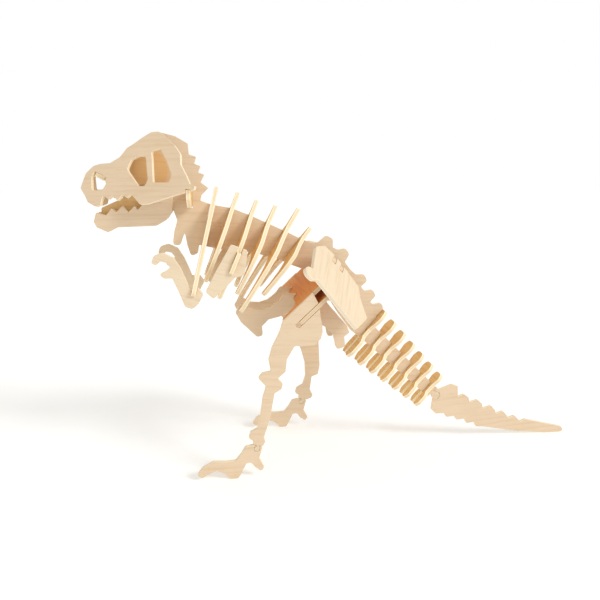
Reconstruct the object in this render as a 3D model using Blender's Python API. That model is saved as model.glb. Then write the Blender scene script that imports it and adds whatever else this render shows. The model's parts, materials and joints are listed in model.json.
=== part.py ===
"""A wooden 3D jigsaw: a standing two-legged dinosaur skeleton, slotted together from 3 mm plywood.

Everything is drawn in millimetres on a side view, x towards the tail and z up from the floor,
then placed in metres with the middle of the whole model over the origin and the head towards -X.
Flat pieces either stand in line with the backbone (side plates) or straddle it (cross plates).
"""

import math

import bmesh
import bpy
from mathutils import Matrix, Vector

for old in list(bpy.data.objects):
    bpy.data.objects.remove(old, do_unlink=True)

MM = 0.001

# Sheet and joints
PLY = 3.0              # thickness of the plywood sheet
PLAY = 0.3             # air left on every face of a slot
KNOB = 3.4             # radius of the tail's jigsaw knob, and the width of its neck
NECK = 3.0
ANKLE_KNOB = 1.9
ANKLE_NECK = 1.8

# Overall
SNOUT_X = -154.0       # front of the snout on the side view
TAIL_X = 228.0         # tip of the tail
MIDDLE_X = (SNOUT_X + TAIL_X) / 2

# Distances out from the backbone
SKULL_OUT = 5.0        # middle of a skull side, at the snout
SKULL_SPLAY = 19.0     # the two skull sides open out towards the back
SKULL_TILT = 15.0      # and lean together at the top
JAW_OUT = 4.8
JAW_SPLAY = 6.0
SIDE_OUT = 27.0        # arms and shoulder blades
PUBIS_OUT = 13.0
ISCHIUM_OUT = 18.0
LEG_OUT = 43.0

# Ribs: where each crosses the top of the backbone, its lean, its spike, and how far it hangs
RIB_HALF = 24.4        # half width of a rib hoop
RIB_WEB = 6.2          # width of a rib arm
RIBS = [
    # x, z, lean, spike, drop, crotch: where its two arms part, under the backbone
    (-64.5, 194.0, 14.0, 14.0, 64.0, 31.0),
    (-50.5, 191.5, 22.0, 13.0, 56.0, 31.0),
    (-37.0, 186.0, 23.0, 13.0, 64.0, 28.0),
    (-24.5, 180.5, 26.0, 15.0, 56.0, 26.0),
    (-11.5, 174.5, 32.0, 20.0, 67.0, 23.0),
    (0.5, 168.0, 39.0, 12.0, 49.0, 18.0),
]
RIB_BITE = 8.0         # depth of the rib slots in the backbone

# Tail discs: first and last station on the backbone's centre line, and their sizes
DISC_COUNT = 7
FIRST_DISC = (53.0, 95.5)
LAST_DISC = (105.5, 45.5)
DISC_LEAN = 42.0
DISC_UP = (21.5, 15.5)      # length above the centre line, first and last
DISC_DOWN = (25.0, 17.5)
DISC_TOP_HALF = (9.0, 6.5)
DISC_FOOT_HALF = (11.0, 8.0)
DISC_WAIST_HALF = 4.6

# Hip
HIP_LEAN = 47.0
HIP_FRONT = (-8.8, 123.2)   # a point on the front cross plate, seen from the side
HIP_GAP = 8.3               # between the two cross plates
HIP_FRONT_HALF = LEG_OUT - PLY / 2 - PLAY   # stops inside the leg
HIP_REAR_HALF = LEG_OUT + PLY / 2           # goes through the leg and ends flush
ROOF_AT = (26.0, 27.0, 138.0)   # middle of a hip roof plate
ROOF_SLOPE = 50.0           # slope of the hip roof along the back
ROOF_TILT = 62.0            # how far each roof plate leans out


def material(name, colour, roughness):
    made = bpy.data.materials.new(name)
    made.use_nodes = True
    shader = made.node_tree.nodes["Principled BSDF"]
    shader.inputs["Base Color"].default_value = (*colour, 1.0)
    shader.inputs["Roughness"].default_value = roughness
    shader.inputs["Metallic"].default_value = 0.0
    return made


def polar(centre, radius, degrees):
    turn = math.radians(degrees)
    return (centre[0] + radius * math.cos(turn), centre[1] + radius * math.sin(turn))


def arc(centre, radius, start, end, steps=6):
    """Points on a round stretch of an outline, from one angle to another."""
    return [polar(centre, radius, start + (end - start) * i / steps) for i in range(steps + 1)]


def rounded(points, radius, steps=2):
    """The outline with each corner eased by up to the radius, the way a cutter leaves it."""
    eased = []
    count = len(points)
    for i in range(count):
        corner = Vector(points[i][:2])
        before = Vector(points[i - 1][:2]) - corner
        after = Vector(points[(i + 1) % count][:2]) - corner
        own = points[i][2] if len(points[i]) > 2 else radius
        half = before.angle(after, math.pi) / 2
        run = min(own / max(math.tan(half), 0.05), 0.45 * before.length, 0.45 * after.length)
        if own == 0 or run < 0.15:
            eased.append(tuple(corner))
            continue
        start = corner + before.normalized() * run
        end = corner + after.normalized() * run
        for step in range(steps + 1):
            t = step / steps
            eased.append(tuple(start * (1 - t) ** 2 + corner * 2 * t * (1 - t) + end * t * t))
    return eased


class Plane:
    """Where a plate lies: a point in its middle plane, and its own across, up and through."""

    def __init__(self, at, across, up):
        self.at = Vector(at)
        self.across = Vector(across).normalized()
        self.up = Vector(up).normalized()
        self.through = self.across.cross(self.up)

    def matrix(self):
        turn = Matrix((self.across, self.up, self.through)).transposed().to_4x4()
        place = Vector((self.at.x - MIDDLE_X, self.at.y, self.at.z)) * MM
        return Matrix.Translation(place) @ turn

    def flat(self, point):
        """A point of the side view, in this plate's own drawing."""
        offset = Vector(point) - self.at
        return (offset.dot(self.across), offset.dot(self.up))


def side_plane(out):
    """In line with the backbone, so many millimetres towards +Y."""
    return Plane((0, out, 0), (1, 0, 0), (0, 0, 1))


def cross_plane(x, z, lean):
    """Straddling the backbone at a point, its top leaning towards the tail."""
    lean = math.radians(lean)
    return Plane((x, 0, z), (0, 1, 0), (math.sin(lean), 0, math.cos(lean)))


def prism(name, outline, plane, thickness):
    """A flat piece of the outline's shape, its middle plane on the plane given."""
    bm = bmesh.new()
    ring = [bm.verts.new((x * MM, y * MM, -thickness / 2 * MM)) for x, y in outline]
    face = bm.faces.new(ring)
    grown = bmesh.ops.extrude_face_region(bm, geom=[face])
    raised = [item for item in grown["geom"] if isinstance(item, bmesh.types.BMVert)]
    bmesh.ops.translate(bm, verts=raised, vec=(0, 0, thickness * MM))
    bmesh.ops.recalc_face_normals(bm, faces=bm.faces)
    mesh = bpy.data.meshes.new(name)
    bm.to_mesh(mesh)
    bm.free()
    obj = bpy.data.objects.new(name, mesh)
    obj.matrix_world = plane.matrix()
    bpy.context.scene.collection.objects.link(obj)
    return obj


PLANES = {}
CUTS = {}


def plate(name, outline, plane, look, ease=0.8):
    """One puzzle piece."""
    obj = prism(name, rounded(outline, ease), plane, PLY)
    obj.data.materials.append(look)
    PLANES[name] = plane
    CUTS[name] = 0
    return obj


def cut(name, outline, plane, thickness=3 * PLY):
    """Takes a straight-through cut out of a piece with a hidden cutter."""
    CUTS[name] += 1
    label = f"{name}_cut_{CUTS[name]}"
    cutter = prism(label, outline, plane, thickness)
    cutter.hide_render = True
    cutter.display_type = "WIRE"
    piece = bpy.data.objects[name]
    modifier = piece.modifiers.new(label, "BOOLEAN")
    modifier.object = cutter
    modifier.operation = "DIFFERENCE"
    modifier.solver = "EXACT"


def box_outline(low, high):
    return [(low[0], low[1]), (high[0], low[1]), (high[0], high[1]), (low[0], high[1])]


def knob_points(at, direction, radius, neck):
    """The outline of a jigsaw knob, from the left of its neck round to the right."""
    run = Vector(direction).normalized()
    side = Vector((-run.y, run.x))
    at = Vector(at)
    angle = math.degrees(math.atan2(run.y, run.x))
    turn = math.degrees(math.asin(neck / 2 / radius))
    ring = arc(at + run * (radius + 1.0), radius, angle + 180 - turn, angle - 180 + turn, 12)
    ends = [tuple(at + side * neck / 2), tuple(at - side * neck / 2)]
    return [p + (0,) for p in [ends[0]] + ring + [ends[1]]]


def slot(name, other, start, reach):
    """A slot in one piece for the plane of another: from a point, along the line where they cross."""
    mine = PLANES[name]
    theirs = PLANES[other]
    line = mine.through.cross(theirs.through).normalized()
    if line.z < 0:
        line = -line
    across = theirs.through
    square = abs(mine.through.dot(line.cross(across)))
    depth = (PLY + 2.0) / max(square, 0.3)
    # The middle of the slot is where the two sheets and the start height meet.
    start = Vector(start)
    start -= mine.through * (start - mine.at).dot(mine.through)
    for _ in range(8):
        start -= theirs.through * (start - theirs.at).dot(theirs.through)
        start -= mine.through * (start - mine.at).dot(mine.through)
    half = PLY / 2 + PLAY
    low, high = sorted((0.0, reach))
    frame = Plane(start, across, line)
    cut(name, box_outline((-half, low), (half, high)), frame, depth)


def cross_lap(lower, upper, meet, reach_down=40.0, reach_up=40.0):
    """Two plates pushed together edge to edge: the upper one comes down onto the lower one."""
    slot(lower, upper, Vector(meet) - Vector((0, 0, PLAY)), reach_up)
    slot(upper, lower, Vector(meet) + Vector((0, 0, PLAY)), -reach_down)


# --- Wood finishes ---------------------------------------------------------------------------
PLAIN = material("ply_plain", (0.86, 0.70, 0.50), 0.62)
PALE = material("ply_pale", (0.90, 0.77, 0.58), 0.60)
WARM = material("ply_warm", (0.82, 0.60, 0.36), 0.64)

# --- Backbone --------------------------------------------------------------------------------
# One long plate: the middle of the skull, the neck, the back, the hip and the root of the tail.
BACK_HALF_TAIL = (7.0, 5.2)     # half depth of the tail root at its first and last disc


def along_tail(share):
    return tuple(FIRST_DISC[i] + (LAST_DISC[i] - FIRST_DISC[i]) * share for i in (0, 1))


TAIL_WAY = Vector((LAST_DISC[0] - FIRST_DISC[0], LAST_DISC[1] - FIRST_DISC[1])).normalized()
TAIL_UP = Vector((-TAIL_WAY.y, TAIL_WAY.x))
TAIL_CUT = Vector(LAST_DISC) + TAIL_WAY * 5.0     # where the tail tip takes over


def beside_tail(share, side):
    half = BACK_HALF_TAIL[0] + (BACK_HALF_TAIL[1] - BACK_HALF_TAIL[0]) * share
    return tuple(Vector(along_tail(share)) + TAIL_UP * half * side)


SPINE_TOP = [
    (-126, 224), (-112, 236), (-104, 243), (-99, 245.5), (-89, 243), (-80.5, 238), (-80, 230.5),
    (-75, 229), (-76.5, 224), (-72, 222.5), (-74, 218), (-69.5, 216.5), (-72.5, 211), (-67, 207),
    (-72, 202), (-73, 198), (-65, 195), (-51, 192.5), (-37, 187), (-24, 181), (-11, 175),
    (1, 169), (9, 166), (14, 166.5), (20, 171.5, 2.5), (25, 169, 2.5), (25, 162.5), (29, 160.5),
    (35, 161.5, 2.5), (38, 157, 2.5), (34.5, 151), (39, 145), (43.5, 141), (50, 141, 2.5),
    (52.5, 136, 2.5), (47.5, 131.5), (50.5, 128), (57, 129, 2.5), (59.5, 124, 2.5), (55, 119),
    (58, 117), (64, 118.5, 2.5), (66, 113.5, 2.5), (60.5, 108.5), (59.5, 104),
]
SPINE_UNDER = [
    (40, 97), (29, 112), (21, 125), (12, 138), (3, 146), (-5, 149), (-18, 155), (-38, 160), (-60, 162.5), (-75, 166),
    (-76, 160, 2.2), (-81, 157.5, 2.2), (-83.5, 166), (-85, 176), (-88.5, 166, 2.2),
    (-94, 166, 2.2), (-92.5, 176), (-90, 184), (-93, 193), (-96, 197.5), (-101.5, 198.5), (-102, 208),
    (-117, 210), (-128, 211),
]
backbone = SPINE_TOP + [beside_tail(0.0, 1), beside_tail(1.0, 1)]
backbone += [tuple(TAIL_CUT + TAIL_UP * BACK_HALF_TAIL[1]) + (0,)]
backbone += knob_points(TAIL_CUT, TAIL_WAY, KNOB, NECK)
backbone += [tuple(TAIL_CUT - TAIL_UP * BACK_HALF_TAIL[1]) + (0,)]
backbone += [beside_tail(1.0, -1), beside_tail(0.0, -1)] + SPINE_UNDER
plate("backbone", backbone, side_plane(0), PLAIN)

# --- Tail tip --------------------------------------------------------------------------------
TAIL_TIP = [
    (109.5, 26.5), (111.5, 47.5), (115, 43.5), (126, 47.5), (131, 46), (131.5, 36.5), (137, 38.5),
    (141, 35.5), (142, 31), (149, 33), (153, 29.5), (154, 25), (161.5, 27), (165, 23),
    (166, 19.5), (172.5, 21.5), (176, 17.5), (177, 15), (183, 17), (187, 13), (188.5, 11.5),
    (193, 13), (TAIL_X - 1.5, 4.6, 2), (TAIL_X, 0.8, 2), (TAIL_X - 3, 0), (TAIL_X - 12, 0),
    (185, 3.4), (163, 7.5), (155, 9), (149, 9.5), (147, 13.5), (140.5, 13), (138, 17),
    (131.5, 16.5), (129, 20), (122.5, 19.5), (120, 23), (113, 23),
]
plate("tail_tip", TAIL_TIP, side_plane(0), PLAIN)


def jigsaw_socket(name, at, direction, plane, radius, neck):
    """The hole that takes a knob, and the throat for its neck."""
    run = Vector(direction).normalized()
    side = Vector((-run.y, run.x))
    at = Vector(at)
    angle = math.degrees(math.atan2(run.y, run.x))
    centre = at + run * (radius + 1.0)
    cut(name, arc(centre, radius + PLAY, angle, angle + 345, 23), plane)
    half = neck / 2 + PLAY
    ends = [at - run * 1.0, centre - run * 1.0]
    cut(name, [tuple(ends[0] - side * half), tuple(ends[1] - side * half),
               tuple(ends[1] + side * half), tuple(ends[0] + side * half)], plane)


tail_side = [TAIL_CUT + TAIL_WAY * PLAY + TAIL_UP * k for k in (BACK_HALF_TAIL[1] + 1, -BACK_HALF_TAIL[1] - 1)]
cut("tail_tip", [tuple(tail_side[0]), tuple(tail_side[1]),
                 tuple(tail_side[1] - TAIL_WAY * 14), tuple(tail_side[0] - TAIL_WAY * 14)], side_plane(0))
jigsaw_socket("tail_tip", TAIL_CUT, TAIL_WAY, side_plane(0), KNOB, NECK)


# --- Tail discs ------------------------------------------------------------------------------
def between(pair, share):
    return pair[0] + (pair[1] - pair[0]) * share


def disc_outline(share):
    """A bow tie: a round-topped lobe above the backbone and a wider one below it."""
    up = between(DISC_UP, share)
    down = between(DISC_DOWN, share)
    top = between(DISC_TOP_HALF, share)
    foot = between(DISC_FOOT_HALF, share)
    right = [
        (DISC_WAIST_HALF, 3.0), (top * 0.8, up * 0.4), (top, up * 0.68, 3), (top * 0.72, up, 4),
    ]
    under = [
        (foot * 0.62, -down, 2.5), (foot, -down * 0.78, 3), (foot * 0.96, -down * 0.36, 2.5),
        (DISC_WAIST_HALF, -down * 0.16),
    ]
    left = [(-p[0],) + tuple(p[1:]) for p in reversed(right)]
    left_under = [(-p[0],) + tuple(p[1:]) for p in reversed(under)]
    crotch = [(foot * 0.3, -down * 0.96, 2), (-foot * 0.3, -down * 0.96, 2)]
    return right + left + left_under + [crotch[1], crotch[0]] + under


for number in range(DISC_COUNT):
    share = number / (DISC_COUNT - 1)
    x, z = along_tail(share)
    name = f"tail_disc_{number + 1}"
    plate(name, disc_outline(share), cross_plane(x, z, DISC_LEAN), WARM)
    cross_lap("backbone", name, (x, 0, z), 40, 12)

# --- Ribs ------------------------------------------------------------------------------------


def rib_outline(spike, drop, crotch, half, toe_half):
    """A wishbone: a spike over the back, a broad top, and two arms that bow out and come in again."""
    inner = half - RIB_WEB
    part = crotch + (drop - crotch) * 0.3
    right = [
        (1.2, spike, 1), (3.4, spike * 0.25), (9.0, -3.0, 4), (half * 0.86, -drop * 0.22, 8),
        (half, -drop * 0.42, 8), (half - 0.8, -drop * 0.66, 8), (toe_half + 2.4, -drop * 0.94, 2),
        (toe_half - 1.2, -drop, 1.5), (toe_half - 2.6, -drop * 0.93, 2),
        (inner - 0.8, -(part + drop) / 2, 8), (inner - 2.5, -part, 8), (inner * 0.55, -crotch - 1.5, 5),
        (4.0, -crotch, 3),
    ]
    left = [(-p[0],) + tuple(p[1:]) for p in reversed(right)]
    return right + left


def with_ears(shape, half):
    """A rib whose arms each carry a square ear on the outside, for a shoulder blade."""
    low, high = EAR_SPAN
    ear = [(half - 0.6, high, 1), (EAR_HALF, high, 1.5), (EAR_HALF, low, 1.5), (half - 0.4, low, 1)]
    mirrored = [(-p[0],) + tuple(p[1:]) for p in reversed(ear)]
    swap = 4
    return shape[:swap] + ear + shape[swap + 2:-swap - 2] + mirrored + shape[-swap:]


SHOULDER_RIB = 2
ARM_RIB = 0
RIB_TOES = [29.6, 15.0, 17.0, 16.0, 19.0, 19.0]
EAR_HALF = 31.0        # rib 3 carries the shoulder blades on two ears
EAR_SPAN = (-41.0, -25.0)
for number, (x, z, lean, spike, drop, crotch) in enumerate(RIBS):
    name = f"rib_{number + 1}"
    toe = RIB_TOES[number]
    half = RIB_HALF
    shape = rib_outline(spike, drop, crotch, half, toe)
    if number == SHOULDER_RIB:
        shape = with_ears(shape, half)
    plate(name, shape, cross_plane(x, z, lean), WARM)
    cross_lap("backbone", name, (x - RIB_BITE * math.sin(math.radians(lean)), 0,
                                 z - RIB_BITE * math.cos(math.radians(lean))), 60, 30)


# --- Plates beside the backbone --------------------------------------------------------------
SIDES = (("left", -1), ("right", 1))


def splayed_plane(at, side, splay, tilt):
    """In line with the backbone, but opening out towards the tail and leaning in at the top."""
    splay, tilt = math.radians(splay), math.radians(tilt)
    across = Vector((math.cos(splay), side * math.sin(splay), 0))
    up = Vector((0, -side * math.sin(tilt), math.cos(tilt)))
    up = (up - across * up.dot(across)).normalized()
    return Plane((at[0], side * at[1], at[2]), across, up)


def drop(plane, x, z):
    """The point of a plate that lies at this place on the side view."""
    n = plane.through
    y = plane.at.y - (n.x * (x - plane.at.x) + n.z * (z - plane.at.z)) / n.y
    return Vector((x, y, z))


def on(plane, points):
    """An outline drawn on the side view, dropped sideways onto a plate that isn't in line."""
    return [plane.flat(drop(plane, *point[:2])) + tuple(point[2:]) for point in points]


def mortise(name, other, low, length):
    """A closed slot for a bridge: from its low end, seen from the side, along its own height."""
    slot(name, other, drop(PLANES[name], *low), length)


def bridge(name, x, z, lean, height, half, holders, spare=3.5 * PLAY, taper=0.0):
    """A small cross plate that passes through the plates it holds, at right angles to them."""
    lean_r = math.radians(lean)
    plane = cross_plane(x, z, lean)
    shape = [(half - taper, -height / 2), (half, taper * 0.5 - height / 2), (half, height / 2)]
    shape += [(-half, height / 2), (-half, taper * 0.5 - height / 2), (taper - half, -height / 2)]
    if not taper:
        shape = [shape[0], shape[2], shape[3], shape[5]]
    plate(name, shape, plane, WARM, 0.6)
    reach = height / 2 + spare
    low = (x - reach * math.sin(lean_r), z - reach * math.cos(lean_r))
    for holder in holders:
        mortise(holder, name, low, 2 * reach)


# Skull sides
SKULL = [
    (-154.5, 207, 1.5), (-150.5, 217, 4), (-145, 222, 4), (-140, 223.5), (-133, 224), (-126, 228),
    (-121, 234), (-116, 237), (-110, 241, 3), (-104, 244.5, 4), (-98.5, 245, 3), (-93.5, 240.5, 4),
    (-88.5, 236, 4), (-84.5, 230, 3), (-84.5, 223, 3), (-81, 216), (-78.5, 210), (-75, 209, 1),
    (-76, 206.5, 1), (-90, 202.5), (-107, 197), (-113, 196.5), (-119, 203.5, 1), (-122, 200.5),
    (-125, 203), (-128.5, 198.5), (-131.5, 202.5), (-135, 199.5), (-138.5, 203), (-140.5, 196, 1),
    (-144, 194.5, 1.5), (-149.5, 197.5), (-151.5, 202),
]
NOSTRIL = [(-146.5, 215), (-143, 217), (-138, 214.5), (-136, 210), (-139, 205.8), (-146.5, 205.5)]
CHEEK_HOLE = [
    (-121.5, 220, 3), (-118, 226.5, 3), (-112.5, 229, 3), (-108, 228.5), (-107, 213), (-109, 208.5, 2.5),
    (-113.5, 208.5, 2.5),
]
EYE_HOLE = [(-104, 232), (-103.5, 211, 1), (-92.5, 211), (-90.5, 216, 2.5), (-94, 226, 3), (-98, 234)]

for side_name, side in SIDES:
    name = f"skull_{side_name}"
    plane = splayed_plane((-150, SKULL_OUT, 210), side, SKULL_SPLAY, SKULL_TILT)
    plate(name, on(plane, SKULL), plane, PLAIN, 1.0)
    for hole in (NOSTRIL, CHEEK_HOLE, EYE_HOLE):
        cut(name, rounded(on(plane, hole), 1.6), plane)

# Jaw sides and the plate between them
JAW = [
    (-142.5, 189.5, 0.8), (-145.5, 190.5, 0.8), (-147.5, 184, 1), (-145.5, 180, 1.5), (-138, 176.5, 2),
    (-131, 180), (-118, 180.5), (-104, 181, 4), (-97, 185, 4), (-93, 191), (-92, 200), (-96, 208),
    (-108, 207), (-113, 196), (-116.5, 192), (-118.5, 195, 0.4), (-123, 190.5), (-127, 195, 0.4),
    (-131.5, 190.5), (-134.5, 193.5, 0.4), (-138.5, 188.5),
]
for side_name, side in SIDES:
    plane = splayed_plane((-145, JAW_OUT, 185), side, JAW_SPLAY, 0)
    plate(f"jaw_{side_name}", on(plane, JAW), plane, PLAIN)
JAW_MIDDLE = [
    (-140, 181), (-143, 188), (-142.5, 193.5), (-130, 199), (-116, 205.5), (-103.2, 206.5, 1),
    (-103.2, 195, 3), (-107, 188), (-112, 184), (-126, 182),
]
plate("jaw_middle", JAW_MIDDLE, side_plane(0), PLAIN)

# Bridges: they hold the head plates apart, out of sight behind the skull sides
bridge("snout_bridge", -141.2, 215.2, -62, 6.4, 6.2, ("skull_left", "skull_right"), 2.0)
bridge("cheek_bridge", -80.4, 200.2, 0, 13.2, 29.5, ("backbone", "skull_left", "skull_right"), taper=12.0)
bridge("jaw_bridge_front", -108.6, 200.8, 0, 4.4, 10.6, ("jaw_middle", "jaw_left", "jaw_right"))
bridge("jaw_bridge_rear", -98.4, 203.0, 0, 4.6, 11.6, ("backbone", "jaw_left", "jaw_right"))

# Shoulder blades, hung on the ears of rib 3
SHOULDER = [
    (-52.5, 169, 1.5), (-41, 164.5, 1.5), (-42, 156), (-43.5, 147, 1.5), (-50, 145.5), (-56, 139.5),
    (-65.5, 130.5, 2), (-71, 135.5, 2), (-63.5, 150), (-57, 161),
]
ARM = [
    (-107.5, 156.5, 1.5), (-105.5, 162, 3), (-99, 164, 3), (-92, 160.5), (-87.5, 153), (-83.5, 143),
    (-82, 138.5), (-76, 139, 1.5), (-72.5, 134, 1.5), (-76, 127.5), (-80.5, 123.5, 3), (-85.5, 125.5, 2),
    (-89.5, 136.5), (-93.5, 146), (-99, 146, 1.5), (-102.5, 149, 1.5), (-98, 151), (-94.5, 153.5),
    (-97, 157), (-101, 158), (-104, 155.5, 1),
]
for side_name, side in SIDES:
    x, z, lean = RIBS[SHOULDER_RIB][:3]
    middle = sum(EAR_SPAN) / 2
    lean = math.radians(lean)
    meet = (x + middle * math.sin(lean), side * SIDE_OUT, z + middle * math.cos(lean))
    plate(f"shoulder_{side_name}", SHOULDER, side_plane(side * SIDE_OUT), PALE)
    cross_lap(f"shoulder_{side_name}", f"rib_{SHOULDER_RIB + 1}", meet, 9.5, 40)
    x, z, lean = RIBS[ARM_RIB][:3]
    lean = math.radians(lean)
    low = 4.0 - RIBS[ARM_RIB][4]
    meet = (x + low * math.sin(lean), side * SIDE_OUT, z + low * math.cos(lean))
    plate(f"arm_{side_name}", ARM, side_plane(side * SIDE_OUT), PALE)
    cross_lap(f"arm_{side_name}", f"rib_{ARM_RIB + 1}", meet, 12, 20)

# --- Hip -------------------------------------------------------------------------------------
# Two cross plates carry the legs, the four lower hip bones and the two roof plates.


def roof_plane(side):
    """Down along the slope of the back, and leaning out over the leg."""
    slope, tilt = math.radians(ROOF_SLOPE), math.radians(ROOF_TILT)
    along = Vector((math.cos(slope), 0, -math.sin(slope)))
    inward = Vector((math.sin(slope), 0, math.cos(slope)))
    out = Vector((0, side, 0)) * math.sin(tilt) - inward * math.cos(tilt)
    return Plane((ROOF_AT[0], side * ROOF_AT[1], ROOF_AT[2]), along, -out)


def roof_height(plane, out):
    """How high up a cross plate the middle of the roof passes, so far from the backbone."""
    roof = roof_plane(1)
    start = plane.at + Vector((0, out, 0))
    return (roof.at - start).dot(roof.through) / plane.up.dot(roof.through)


LEAN = math.radians(HIP_LEAN)
HIP_REAR = (HIP_FRONT[0] + HIP_GAP * math.cos(LEAN), HIP_FRONT[1] - HIP_GAP * math.sin(LEAN))
HORN = (9.5, 14.5)        # where the cross plates stand up through the roof
HORN_SLOT = HORN[1] + PLAY + 1.0    # the roof leans, so its slot ends a little farther out


def hip_outline(plane, half, end_low, belly, top):
    """Half of a cross plate: horn through the roof, edge under the roof, leg end, belly."""
    steep = abs(roof_plane(1).through.dot(plane.up))
    under = (PLY / 2 + 2 * PLAY) / steep
    flush = (PLY / 2 - PLAY) / steep
    right = [
        (5.0, top), (HORN[0], roof_height(plane, HORN[0]) + flush),
        (HORN[1], roof_height(plane, HORN[1]) + flush, 0.3),
        (HORN[1], roof_height(plane, HORN[1]) - under, 0.3),
        (half, roof_height(plane, half) - under), (half, end_low + 2.0, 1.5),
        (half - 1.5, end_low, 1.5), (LEG_OUT - 5.5, end_low + 1.0, 1.5), (LEG_OUT - 8, belly * 0.4, 4),
        (26, belly, 4),
    ]
    left = [(-p[0],) + tuple(p[1:]) for p in reversed(right)]
    return right + left


front_plane = cross_plane(*HIP_FRONT, HIP_LEAN)
rear_plane = cross_plane(*HIP_REAR, HIP_LEAN)
plate("hip_front", hip_outline(front_plane, HIP_FRONT_HALF, -11.6, 3.5, 42.0), front_plane, WARM)
plate("hip_rear", hip_outline(rear_plane, HIP_REAR_HALF, -5.2, 5.5, 42.0), rear_plane, WARM)


def up_hip(at, height, out):
    """A point on a hip cross plate, so high up it and so far out."""
    return (at[0] + height * math.sin(LEAN), out, at[1] + height * math.cos(LEAN))


for name, at in (("hip_front", HIP_FRONT), ("hip_rear", HIP_REAR)):
    meet = up_hip(at, 36.0, 0)
    slot("backbone", name, Vector(meet) + Vector((0, 0, PLAY)), -30)
    slot(name, "backbone", Vector(meet) - Vector((0, 0, PLAY)), 20)

ROOF = [
    (-32, 8, 2), (-26, 20, 2), (-15, 23, 3), (3, 21, 2), (15, 19), (20, 8), (31, -5, 3),
    (25, -27, 2), (-19.5, -24, 0.5), (-23, -29.5, 3), (-29, -31, 3.5), (-32, -26.5, 3.5),
    (-30.5, -22, 3), (-26.5, -19.5, 1),
]
PUBIS = [
    (-50, 117, 1.5), (-46, 109.5), (-34.5, 98, 2), (-30, 98.5, 2), (-30.5, 106), (-25.5, 111), (-17, 113),
    (-8, 117), (1, 124), (2.5, 129.5, 1), (-6.6, 129.8), (-14, 130.5, 1.5), (-17.5, 125.5), (-24, 120.5),
    (-30.5, 118.5), (-38, 119, 3), (-43, 122.5), (-46.5, 122.5, 1.5),
]
ISCHIUM = [
    (1, 124), (6, 132), (12, 131), (22, 118), (33, 105.5), (35, 100), (31, 97), (32, 89, 2.5),
    (25, 87, 2.5), (22.5, 99), (18, 104, 2), (13, 107), (6, 115),
]
for side_name, side in SIDES:
    name = f"hip_roof_{side_name}"
    plane = roof_plane(side)
    plate(name, ROOF, plane, PALE, 1.0)
    for cross in ("hip_front", "hip_rear"):
        edge = PLANES[cross].at + Vector((0, side * HORN_SLOT, 0))
        height = roof_height(PLANES[cross], HORN_SLOT)
        slot(name, cross, edge + PLANES[cross].up * height, 40)
    name = f"pubis_{side_name}"
    plate(name, PUBIS, side_plane(side * PUBIS_OUT), PLAIN)
    cross_lap(name, "hip_front", up_hip(HIP_FRONT, 5.5, side * PUBIS_OUT), 12, 20)
    name = f"ischium_{side_name}"
    plate(name, ISCHIUM, side_plane(side * ISCHIUM_OUT), PLAIN)
    cross_lap(name, "hip_rear", up_hip(HIP_REAR, 12.5, side * ISCHIUM_OUT), 12, 20)

# --- Legs and feet ---------------------------------------------------------------------------
BEHIND = -PLY / 2              # the front edge of a leg covers the end of the front cross plate


def beside_front(height, back):
    """A point on the side view, up the front cross plate and so far behind its middle."""
    spot = up_hip(HIP_FRONT, height, 0)
    return (spot[0] + back * math.cos(LEAN), spot[2] - back * math.sin(LEAN))


HIP_TOP = [
    beside_front(-11.5, BEHIND), beside_front(12.5, BEHIND), beside_front(17.5, BEHIND) + (0.5,),
    (7.6, 127.2, 1), (8.3, 119.0),
]
ANKLE_FRONT = (-37.0, 25.0)
STRIDE = 45.0                  # how far the back foot stands behind the front one
ANKLE_WAY = (-0.25, -1.0)


def leg_outline(front_edge, back_edge, ankle):
    """Thigh and shin in one plate; the edges run down from the hip to the ankle."""
    foot_end = knob_points(ankle, ANKLE_WAY, ANKLE_KNOB, ANKLE_NECK)
    return HIP_TOP + back_edge + foot_end + list(reversed(front_edge))


LEG_FORWARD_FRONT = [
    (-20.5, 109), (-26, 98), (-28.5, 89), (-27, 80.5), (-33, 79.5, 1.5), (-36, 76, 1.5), (-30.5, 69.5),
    (-33, 61), (-34.5, 50), (-37, 38), (-42, 35.5, 1.5), (-43.5, 31, 1.5), (-40, 28.5), (-40.6, 25.8),
]
LEG_FORWARD_BACK = [
    (9.8, 112), (10, 108), (8.6, 103, 2), (4.5, 98.5), (-5, 98), (-10, 98.5, 2), (-15.5, 89), (-16.5, 80), (-22, 75),
    (-18.5, 71, 1.5), (-19.5, 67, 1.5), (-24.5, 64), (-28, 45), (-32.5, 31), (-31.5, 27.5, 1.5),
    (-33.4, 24.2),
]
LEG_BACK_FRONT = [
    (-15, 106), (-6, 95), (2, 82), (7, 69), (10, 58), (10.5, 46), (8, 38), (3, 35.5, 1.5),
    (1.5, 31, 1.5), (5, 28.5), (4.4, 25.8),
]
LEG_BACK_BACK = [
    (14, 114), (20, 104), (22.5, 92), (22, 75), (23, 55), (21.5, 47, 1), (16, 45), (14.5, 33.5), (17, 28, 1.5),
    (15.5, 25.5, 1.5), (11.6, 24.2),
]
FOOT = [
    (-33.6, 23.6), (-36, 15), (-32.5, 8, 1.5), (-34.5, 4.5, 1.5), (-39, 8), (-42, 12, 2), (-45.5, 11.5),
    (-49, 4), (-51.5, 0, 1.5), (-57, 0, 1.5), (-61, 4.5), (-67, 7), (-73, 4.5), (-77.5, 2, 1.5),
    (-81, 4.5, 1.5), (-77, 10), (-69, 14.2), (-60, 13.6), (-53, 14), (-49, 19), (-46, 24.2, 1.5),
    (-40.8, 25.2),
]
LEGS = {"left": (LEG_FORWARD_FRONT, LEG_FORWARD_BACK, 0.0), "right": (LEG_BACK_FRONT, LEG_BACK_BACK, STRIDE)}
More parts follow.
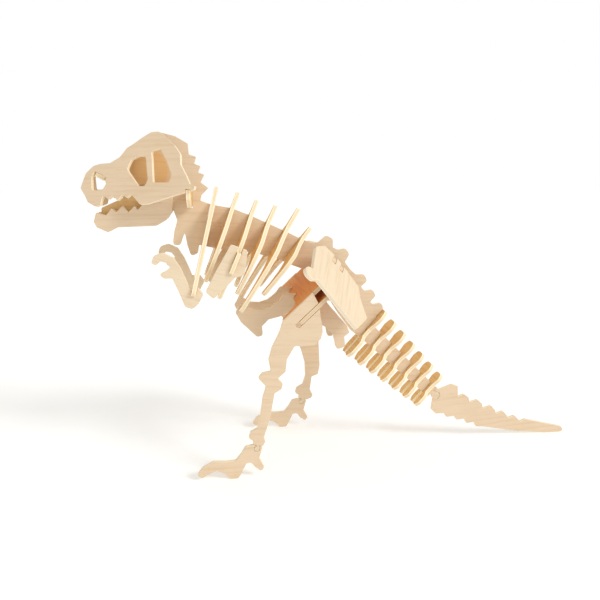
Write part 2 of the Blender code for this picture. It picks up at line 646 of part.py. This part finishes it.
for side_name, side in SIDES:
    front_edge, back_edge, shift = LEGS[side_name]
    plane = side_plane(side * LEG_OUT)
    ankle = (ANKLE_FRONT[0] + shift, ANKLE_FRONT[1])
    leg = f"leg_{side_name}"
    foot = f"foot_{side_name}"
    plate(leg, leg_outline(front_edge, back_edge, ankle), plane, PLAIN)
    plate(foot, [(p[0] + shift,) + tuple(p[1:]) for p in FOOT], plane, PLAIN)
    jigsaw_socket(foot, ankle, ANKLE_WAY, plane, ANKLE_KNOB, ANKLE_NECK)
    slot(leg, "hip_rear", up_hip(HIP_REAR, -5.2 - PLAY, side * LEG_OUT), 40)
    dot = up_hip(HIP_REAR, -5.6, 0)
    cut(leg, arc((dot[0], dot[2]), 2.2, 0, 345, 15), plane)
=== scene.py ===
import json
import math
import random

import bmesh
import bpy
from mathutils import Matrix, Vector

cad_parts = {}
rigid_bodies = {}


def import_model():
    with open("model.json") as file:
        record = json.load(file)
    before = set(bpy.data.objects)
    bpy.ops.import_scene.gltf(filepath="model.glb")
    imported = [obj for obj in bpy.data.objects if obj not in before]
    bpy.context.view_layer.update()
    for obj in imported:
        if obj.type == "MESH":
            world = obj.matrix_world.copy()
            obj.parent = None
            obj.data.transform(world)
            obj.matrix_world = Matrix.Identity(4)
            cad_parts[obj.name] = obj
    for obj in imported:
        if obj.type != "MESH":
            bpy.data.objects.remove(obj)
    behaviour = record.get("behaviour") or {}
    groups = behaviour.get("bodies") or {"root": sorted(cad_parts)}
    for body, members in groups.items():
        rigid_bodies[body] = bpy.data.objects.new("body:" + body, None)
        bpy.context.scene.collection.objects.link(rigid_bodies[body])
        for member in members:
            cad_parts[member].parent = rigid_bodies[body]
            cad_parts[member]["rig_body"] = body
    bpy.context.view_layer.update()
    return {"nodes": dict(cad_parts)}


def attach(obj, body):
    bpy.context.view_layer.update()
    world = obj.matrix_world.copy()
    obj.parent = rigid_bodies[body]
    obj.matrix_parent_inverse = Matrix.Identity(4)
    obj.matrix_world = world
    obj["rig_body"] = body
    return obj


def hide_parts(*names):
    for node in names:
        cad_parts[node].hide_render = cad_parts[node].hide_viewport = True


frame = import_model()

# --- Studio ----------------------------------------------------------------------------------
# The finished model stands on a plain white sweep, seen from just left of the ribs and a little
# above the back. One broad soft light shines from the right and pale air fills the shadows.
CAMERA_AT = (-0.0998, -0.4471, 0.2180)
CAMERA_DOWN = 12.0
CAMERA_TURN = 8.0
LENS = 36.0
SWEEP_REACH = 6.0
PAPER_TONE = (0.94, 0.94, 0.94, 1)
PAPER_GLOW = (0.9, 0.95, 1.0, 1)
PAPER_GLOW_STRENGTH = 0.16
AIR_TINT = (1.0, 0.97, 0.915, 1)
AIR_STRENGTH = 0.76
KEY_WAY = (0.74, -0.50, 0.60)
KEY_STRENGTH = 1.45
KEY_SPREAD = 18.0
KEY_TINT = (0.98, 0.99, 1.0)

bpy.context.scene.view_settings.view_transform = "Standard"
camera_data = bpy.data.cameras.new("camera")
camera_data.lens = LENS
camera_data.sensor_width = 36.0
camera_data.clip_start = 0.01
camera = bpy.data.objects.new("camera", camera_data)
camera.location = CAMERA_AT
camera.rotation_euler = (math.radians(90 - CAMERA_DOWN), 0, math.radians(-CAMERA_TURN))
bpy.context.scene.collection.objects.link(camera)
bpy.context.scene.camera = camera

sweep = bmesh.new()
bmesh.ops.create_grid(sweep, x_segments=1, y_segments=1, size=SWEEP_REACH)
floor_mesh = bpy.data.meshes.new("floor")
sweep.to_mesh(floor_mesh)
sweep.free()
floor = bpy.data.objects.new("floor", floor_mesh)
bpy.context.scene.collection.objects.link(floor)
floor_look = bpy.data.materials.new("floor_paper")
floor_look.use_nodes = True
floor_shader = floor_look.node_tree.nodes["Principled BSDF"]
floor_shader.inputs["Base Color"].default_value = PAPER_TONE
floor_shader.inputs["Roughness"].default_value = 0.9
floor_shader.inputs["Emission Color"].default_value = PAPER_GLOW
floor_shader.inputs["Emission Strength"].default_value = PAPER_GLOW_STRENGTH
floor_mesh.materials.append(floor_look)

world = bpy.data.worlds.new("studio_air")
bpy.context.scene.world = world
world.use_nodes = True
air = world.node_tree
lighting = air.nodes["Background"]
lighting.inputs["Color"].default_value = AIR_TINT
lighting.inputs["Strength"].default_value = AIR_STRENGTH
seen = air.nodes.new("ShaderNodeBackground")
seen.inputs["Color"].default_value = (1.0, 1.0, 1.0, 1)
ray = air.nodes.new("ShaderNodeLightPath")
either = air.nodes.new("ShaderNodeMixShader")
air.links.new(ray.outputs["Is Camera Ray"], either.inputs["Fac"])
air.links.new(lighting.outputs[0], either.inputs[1])
air.links.new(seen.outputs[0], either.inputs[2])
air.links.new(either.outputs[0], air.nodes["World Output"].inputs["Surface"])

key_data = bpy.data.lights.new("key_light", "SUN")
key_data.energy = KEY_STRENGTH
key_data.angle = math.radians(KEY_SPREAD)
key_data.color = KEY_TINT
key_light = bpy.data.objects.new("key_light", key_data)
key_light.location = Vector(KEY_WAY) * 1.5
key_light.rotation_euler = Vector(KEY_WAY).to_track_quat("Z", "Y").to_euler()
bpy.context.scene.collection.objects.link(key_light)

# --- Backbone and tail tip -------------------------------------------------------------------
# The long plate that carries the rest, and the tip that hangs on its end by a round knob. They are
# punched from one sheet of 3 mm plywood: two thin veneers on a core laid crosswise, bare and
# sanded, with paler cut edges that the punch has just eased.
SHEET = 0.003
EASED = 0.00022
MERGED = 0.000002         # corners nearer than this are one corner
FLAT_ANGLE = 0.6          # degrees under which two neighbouring sides are one flat side
FACE_LEAST = 0.9          # a side whose normal is nearer the sheet's own than this is a face
FOLD_ANGLE = 34
EASED_ANGLE = 50
PORES_PER_METRE = 2600.0
CLOUDS_PER_METRE = 38.0
PORE_TONE = (0.72, 0.62, 0.50)
FIBRE_TONE = (0.80, 0.72, 0.60)
EDGE_STREAKS_PER_METRE = 1500.0
EDGE_STRETCH = 1.6
CORE_HALF = 0.17          # of the sheet's thickness, from its middle
GLUE_WIDTH = 0.03


def new_group(name, entries, results):
    """A shader node group with named inputs and outputs: its tree, and what it takes and gives."""
    tree = bpy.data.node_groups.new(name, "ShaderNodeTree")
    for label, kind, value in entries:
        socket = tree.interface.new_socket(name=label, in_out="INPUT", socket_type=f"NodeSocket{kind}")
        if value is not None:
            socket.default_value = value
    for label, kind in results:
        tree.interface.new_socket(name=label, in_out="OUTPUT", socket_type=f"NodeSocket{kind}")
    return tree, tree.nodes.new("NodeGroupInput").outputs, tree.nodes.new("NodeGroupOutput").inputs


def feed(tree, socket, value):
    """Links an output to a socket, or sets the socket to a plain number or colour."""
    if isinstance(value, bpy.types.NodeSocket):
        tree.links.new(value, socket)
    elif isinstance(value, tuple) and len(value) == 3 and socket.type == "RGBA":
        socket.default_value = (*value, 1)
    else:
        socket.default_value = value


def placed(tree, kind, **values):
    """A new node with its sockets fed by name, underscores standing for spaces."""
    node = tree.nodes.new(kind)
    for label, value in values.items():
        feed(tree, node.inputs[label.replace("_", " ")], value)
    return node


def maths(tree, operation, *values):
    node = tree.nodes.new("ShaderNodeMath")
    node.operation = operation
    for socket, value in zip(node.inputs, values):
        feed(tree, socket, value)
    return node.outputs[0]


def stretch(tree, value, start, stop, low, high):
    """The value's run from start to stop, stretched to run from low to high and held there."""
    limits = {"From_Min": start, "From_Max": stop, "To_Min": low, "To_Max": high}
    return placed(tree, "ShaderNodeMapRange", Value=value, **limits).outputs["Result"]


def mixed(tree, kind, amount, low, high):
    node = tree.nodes.new("ShaderNodeMix")
    node.data_type = "RGBA"
    node.blend_type = kind
    feed(tree, node.inputs["Factor"], amount)
    feed(tree, next(s for s in node.inputs if s.name == "A" and s.type == "RGBA"), low)
    feed(tree, next(s for s in node.inputs if s.name == "B" and s.type == "RGBA"), high)
    return next(s for s in node.outputs if s.type == "RGBA")


def grouped(tree, group, **values):
    node = tree.nodes.new("ShaderNodeGroup")
    node.node_tree = group
    for label, value in values.items():
        feed(tree, node.inputs[label.replace("_", " ")], value)
    return node.outputs


def build_grain():
    """Straight, faint grain: long streaks, short pores and broad soft clouds."""
    tree, given, made = new_group("wood grain", [
        ("Place", "Vector", None), ("Streaks per metre", "Float", 420.0), ("Stretch", "Float", 0.045),
    ], [("Streak", "Float"), ("Pore", "Float"), ("Cloud", "Float")])
    split = placed(tree, "ShaderNodeSeparateXYZ", Vector=given["Place"]).outputs
    along = maths(tree, "MULTIPLY", split["X"], given["Stretch"])
    drawn = placed(tree, "ShaderNodeCombineXYZ", X=along, Y=split["Y"], Z=split["Z"]).outputs[0]
    streak = placed(tree, "ShaderNodeTexNoise", Vector=drawn, Scale=given["Streaks per metre"],
                    Detail=5.0, Roughness=0.62, Distortion=0.25)
    pore = placed(tree, "ShaderNodeTexNoise", Vector=drawn, Scale=PORES_PER_METRE, Detail=2.0)
    cloud = placed(tree, "ShaderNodeTexNoise", Vector=given["Place"], Scale=CLOUDS_PER_METRE, Detail=3.0)
    for label, noise in (("Streak", streak), ("Pore", pore), ("Cloud", cloud)):
        tree.links.new(noise.outputs[0], made[label])
    return tree


GRAIN = build_grain()


def build_veneer():
    """The sanded face of the sheet: streaks of two tones, soft clouds and a few open pores."""
    tree, given, made = new_group("sanded veneer", [
        ("Place", "Vector", None), ("Light", "Color", None), ("Deep", "Color", None),
        ("Roughness", "Float", 0.62),
    ], [("Color", "Color"), ("Roughness", "Float"), ("Streak", "Float")])
    grain = grouped(tree, GRAIN, Place=given["Place"])
    clear = stretch(tree, grain["Streak"], 0.32, 0.52, 0.0, 1.0)
    wood = mixed(tree, "MIX", clear, given["Deep"], given["Light"])
    shade = tree.nodes.new("ShaderNodeVectorMath")
    shade.operation = "MULTIPLY_ADD"
    tree.links.new(given["Light"], shade.inputs[0])
    shade.inputs[1].default_value = (0.12, 0.12, 0.12)
    shade.inputs[2].default_value = (0.82, 0.82, 0.82)
    patchy = stretch(tree, grain["Cloud"], 0.3, 0.7, 0.0, 0.35)
    cloudy = mixed(tree, "MULTIPLY", patchy, wood, shade.outputs[0])
    open_pore = stretch(tree, grain["Pore"], 0.28, 0.36, 0.0, 1.0)
    pores = mixed(tree, "MIX", open_pore, PORE_TONE, (1.0, 1.0, 1.0))
    tree.links.new(mixed(tree, "MULTIPLY", 0.45, cloudy, pores), made["Color"])
    wear = stretch(tree, grain["Streak"], 0.3, 0.7, 0.07, -0.05)
    tree.links.new(maths(tree, "ADD", given["Roughness"], wear), made["Roughness"])
    tree.links.new(grain["Streak"], made["Streak"])
    return tree


def build_layers():
    """The cut through the sheet: two pale veneers, a core of end grain, and thin glue lines."""
    tree, given, made = new_group("sheet layers", [
        ("Place", "Vector", None), ("Light", "Color", None), ("Core", "Color", None), ("Glue", "Color", None),
    ], [("Color", "Color"), ("Streak", "Float")])
    split = placed(tree, "ShaderNodeSeparateXYZ", Vector=given["Place"]).outputs
    depth = maths(tree, "ABSOLUTE", maths(tree, "MULTIPLY", split["Y"], 1 / SHEET))
    glue_line = CORE_HALF + GLUE_WIDTH
    to_glue = stretch(tree, depth, CORE_HALF, glue_line, 0.0, 1.0)
    to_veneer = stretch(tree, depth, glue_line, glue_line + GLUE_WIDTH, 0.0, 1.0)
    inner = mixed(tree, "MIX", to_glue, given["Core"], given["Glue"])
    layers = mixed(tree, "MIX", to_veneer, inner, given["Light"])
    grain = grouped(tree, GRAIN, Place=given["Place"], Stretch=EDGE_STRETCH,
                    Streaks_per_metre=EDGE_STREAKS_PER_METRE)
    sawn = stretch(tree, grain["Streak"], 0.3, 0.55, 0.0, 1.0)
    fibres = mixed(tree, "MIX", sawn, FIBRE_TONE, (1.0, 1.0, 1.0))
    tree.links.new(mixed(tree, "MULTIPLY", 0.5, layers, fibres), made["Color"])
    tree.links.new(grain["Streak"], made["Streak"])
    return tree


VENEER = build_veneer()
LAYERS = build_layers()


def new_wood(name, group, tones, strength, distance):
    """A wooden material from one of the two groups, mapped by the sheet and bumped by its streaks."""
    look = bpy.data.materials.new(name)
    look.use_nodes = True
    tree = look.node_tree
    shader = tree.nodes["Principled BSDF"]
    place = tree.nodes.new("ShaderNodeUVMap")
    place.uv_map = "sheet"
    made = grouped(tree, group, Place=place.outputs["UV"], **tones)
    tree.links.new(made["Color"], shader.inputs["Base Color"])
    bump = placed(tree, "ShaderNodeBump", Height=made["Streak"], Strength=strength, Distance=distance)
    tree.links.new(bump.outputs["Normal"], shader.inputs["Normal"])
    return look, shader, made


def veneer(name, light, deep, rough):
    """The material of a face."""
    tones = {"Light": light, "Deep": deep, "Roughness": rough}
    look, shader, made = new_wood(name, VENEER, tones, 0.35, 0.00012)
    look.node_tree.links.new(made["Roughness"], shader.inputs["Roughness"])
    return look


def cut_edge(name, light, core, glue):
    """The material of a cut edge."""
    look, shader, _ = new_wood(name, LAYERS, {"Light": light, "Core": core, "Glue": glue}, 0.5, 0.00015)
    shader.inputs["Roughness"].default_value = 0.78
    return look


def paint_bounce_glow(look, spot, reach, tone):
    """Paints a warm glow into the wood round a spot: painted bounce light between two close plates."""
    tree = look.node_tree
    shader = tree.nodes["Principled BSDF"]
    wood = shader.inputs["Base Color"].links[0].from_socket
    centred = tree.nodes.new("ShaderNodeMapping")
    centred.vector_type = "TEXTURE"
    centred.inputs["Location"].default_value = spot
    centred.inputs["Scale"].default_value = reach
    tree.links.new(tree.nodes.new("ShaderNodeTexCoord").outputs["Object"], centred.inputs["Vector"])
    away = tree.nodes.new("ShaderNodeVectorMath")
    away.operation = "LENGTH"
    tree.links.new(centred.outputs[0], away.inputs[0])
    fade = stretch(tree, away.outputs["Value"], 0.8, 1.0, 1.0, 0.0)
    tree.links.new(mixed(tree, "MULTIPLY", fade, wood, tone), shader.inputs["Base Color"])


def grain_ways(through, turn):
    """The directions along and across the grain of a sheet, turned a little on it."""
    guide = Vector((1, 0, 0)) if abs(through.x) <= 0.3 or abs(through.y) >= 0.8 else Vector((0, 1, 0))
    along = (guide - through * guide.dot(through)).normalized()
    across = through.cross(along)
    spin = math.radians(turn)
    return (along * math.cos(spin) + across * math.sin(spin),
            across * math.cos(spin) - along * math.sin(spin))


def map_sheet(bm, through, turn):
    """Maps faces by their grain and edges by their run and depth, and parts their materials."""
    middle = sum((v.co for v in bm.verts), Vector()) / len(bm.verts)
    depths = [v.co.dot(through) for v in bm.verts]
    half_way = (max(depths) + min(depths)) / 2
    along, across = grain_ways(through, turn)
    offset = Vector((random.uniform(0, 3), random.uniform(0, 3)))
    uv = bm.loops.layers.uv.new("sheet")
    for face in bm.faces:
        flat = abs(face.normal.dot(through)) > FACE_LEAST
        face.material_index = 0 if flat else 1
        face.smooth = True
        if flat:
            side = 1.0 if face.normal.dot(through) > 0 else -1.0
            for loop in face.loops:
                spot = loop.vert.co - middle
                loop[uv].uv = (spot.dot(along) + offset.x, (spot.dot(across) + offset.y) * side)
        else:
            run = face.normal.cross(through).normalized()
            for loop in face.loops:
                loop[uv].uv = (loop.vert.co.dot(run) + offset.x, loop.vert.co.dot(through) - half_way)


def wooden_copy(node, face_look, edge_look, seed, turn=0.0):
    """One finished puzzle piece in place of a CAD plate, mapped with its grain and its cut edge."""
    source = frame["nodes"][node]
    bm = bmesh.new()
    bm.from_mesh(source.data)
    bmesh.ops.remove_doubles(bm, verts=bm.verts, dist=MERGED)
    bmesh.ops.dissolve_limit(bm, angle_limit=math.radians(FLAT_ANGLE), verts=bm.verts, edges=bm.edges)
    bmesh.ops.recalc_face_normals(bm, faces=bm.faces)
    through = max(bm.faces, key=lambda face: face.calc_area()).normal.copy()
    random.seed(seed)
    map_sheet(bm, through, turn)
    mesh = bpy.data.meshes.new(f"{node}_wood")
    bm.to_mesh(mesh)
    bm.free()
    mesh.materials.append(face_look)
    mesh.materials.append(edge_look)
    mesh.set_sharp_from_angle(angle=math.radians(FOLD_ANGLE))
    piece = bpy.data.objects.new(f"{node}_wood", mesh)
    bpy.context.scene.collection.objects.link(piece)
    easing = piece.modifiers.new("eased_edge", "BEVEL")
    easing.width = EASED
    easing.segments = 2
    easing.limit_method = "ANGLE"
    easing.angle_limit = math.radians(EASED_ANGLE)
    easing.harden_normals = True
    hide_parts(node)
    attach(piece, source["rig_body"])


def side_turn(seed):
    """The grain of each plate in line with the back lies a few degrees off level."""
    return (seed * 17) % 9 - 4


SIDE_TONES = ((0.76, 0.595, 0.415), (0.70, 0.53, 0.35))
# Inside the head the backbone's veneer gets a painted warm glow, standing in for bounce light and shade
# between the skull plates.
HEAD_INSIDE = (-0.149, 0.0, 0.2195)
HEAD_INSIDE_REACH = (0.020, 0.05, 0.0185)
back_face = veneer("veneer_back_painted_glow", *SIDE_TONES, 0.62)
paint_bounce_glow(back_face, HEAD_INSIDE, HEAD_INSIDE_REACH, (1.0, 0.80, 0.50))
side_face = veneer("veneer_side", *SIDE_TONES, 0.62)
side_edge = cut_edge("cut_edge_side", (0.97, 0.88, 0.70), (0.90, 0.75, 0.52), (0.72, 0.52, 0.30))
wooden_copy("backbone", back_face, side_edge, 0, side_turn(0))
wooden_copy("tail_tip", side_face, side_edge, 1, side_turn(1))

# --- Skull and jaw sides ---------------------------------------------------------------------
# Two skull plates and two jaw plates lean outwards from the backbone, with a tongue plate standing
# between the jaws. Its darker gold veneer is painted shade and bounce light from the jaws beside it.
tongue_painted_shade_face = veneer("veneer_tongue_painted_shade", (0.80, 0.55, 0.25), (0.72, 0.45, 0.18), 0.62)
for seed, node in enumerate(["skull_left", "skull_right", "jaw_left", "jaw_right"], 2):
    wooden_copy(node, side_face, side_edge, seed, side_turn(seed))
wooden_copy("jaw_middle", tongue_painted_shade_face, side_edge, 6, side_turn(6))

# --- Belly plates, legs and feet -------------------------------------------------------------
# Pubis and ischium hang in the slots of the hip's cross plates and the legs close their ends; each
# foot is locked to its leg by a round knob. All are cut from the same sheet as the backbone.
LOWER_PIECES = ["pubis_left", "pubis_right", "ischium_left", "ischium_right"]
LOWER_PIECES += ["leg_left", "leg_right", "foot_left", "foot_right"]
for seed, node in enumerate(LOWER_PIECES, 7):
    wooden_copy(node, side_face, side_edge, seed, side_turn(seed))

# --- Arms, shoulder blades and hip roof ------------------------------------------------------
# They lie outermost, and their veneer and cut edges are a paler copy of the side tones: painted
# light for the extra light they catch. Their grain runs whichever way they fitted on the sheet.
pale_painted_light_face = veneer("veneer_pale_painted_light", (0.80, 0.66, 0.475), (0.73, 0.575, 0.39), 0.60)
pale_painted_light_edge = cut_edge("cut_edge_pale_painted_light", (0.98, 0.91, 0.75), (0.92, 0.79, 0.58), (0.74, 0.55, 0.34))
PALE_PIECES = ["arm_left", "arm_right", "shoulder_left", "shoulder_right", "hip_roof_left", "hip_roof_right"]
for seed, node in enumerate(PALE_PIECES, 40):
    wooden_copy(node, pale_painted_light_face, pale_painted_light_edge, seed, (seed * 23) % 40 - 20)

# --- Ribs and tail discs ---------------------------------------------------------------------
# The plates that straddle the backbone in half-lap slots. Their faces are painted a warm gold beside
# their cream edges: painted shade for the shadow and bounce light on their sides.
cross_painted_shade_face = veneer("veneer_cross_painted_shade", (0.88, 0.60, 0.26), (0.76, 0.47, 0.17), 0.64)
cross_edge = cut_edge("cut_edge_cross", (0.97, 0.88, 0.68), (0.90, 0.74, 0.48), (0.70, 0.50, 0.28))
CROSS_PIECES = [f"rib_{n}" for n in range(1, 7)] + [f"tail_disc_{n}" for n in range(1, 8)]
for seed, node in enumerate(CROSS_PIECES, 80):
    wooden_copy(node, cross_painted_shade_face, cross_edge, seed)

# --- Head bridges ----------------------------------------------------------------------------
# Four short strips that hold the skull and jaw sides apart and tie them to the backbone, with the
# same golden painted shade on their faces as the ribs.
HEAD_BRIDGES = ["snout_bridge", "cheek_bridge", "jaw_bridge_front", "jaw_bridge_rear"]
for seed, node in enumerate(HEAD_BRIDGES, 93):
    wooden_copy(node, cross_painted_shade_face, cross_edge, seed)

# --- Hip cross plates ------------------------------------------------------------------------
# Two wide plates under the hip roof carry the legs. Their faces are painted deep orange, painted
# shade for where they sit deep in the model, and their ends show in the legs as darker strips.
hip_painted_shade_face = veneer("veneer_hip_painted_shade", (0.82, 0.34, 0.09), (0.68, 0.25, 0.055), 0.66)
hip_edge = cut_edge("cut_edge_hip", (0.80, 0.64, 0.44), (0.74, 0.57, 0.37), (0.62, 0.44, 0.25))
for seed, node in enumerate(["hip_front", "hip_rear"], 110):
    wooden_copy(node, hip_painted_shade_face, hip_edge, seed)
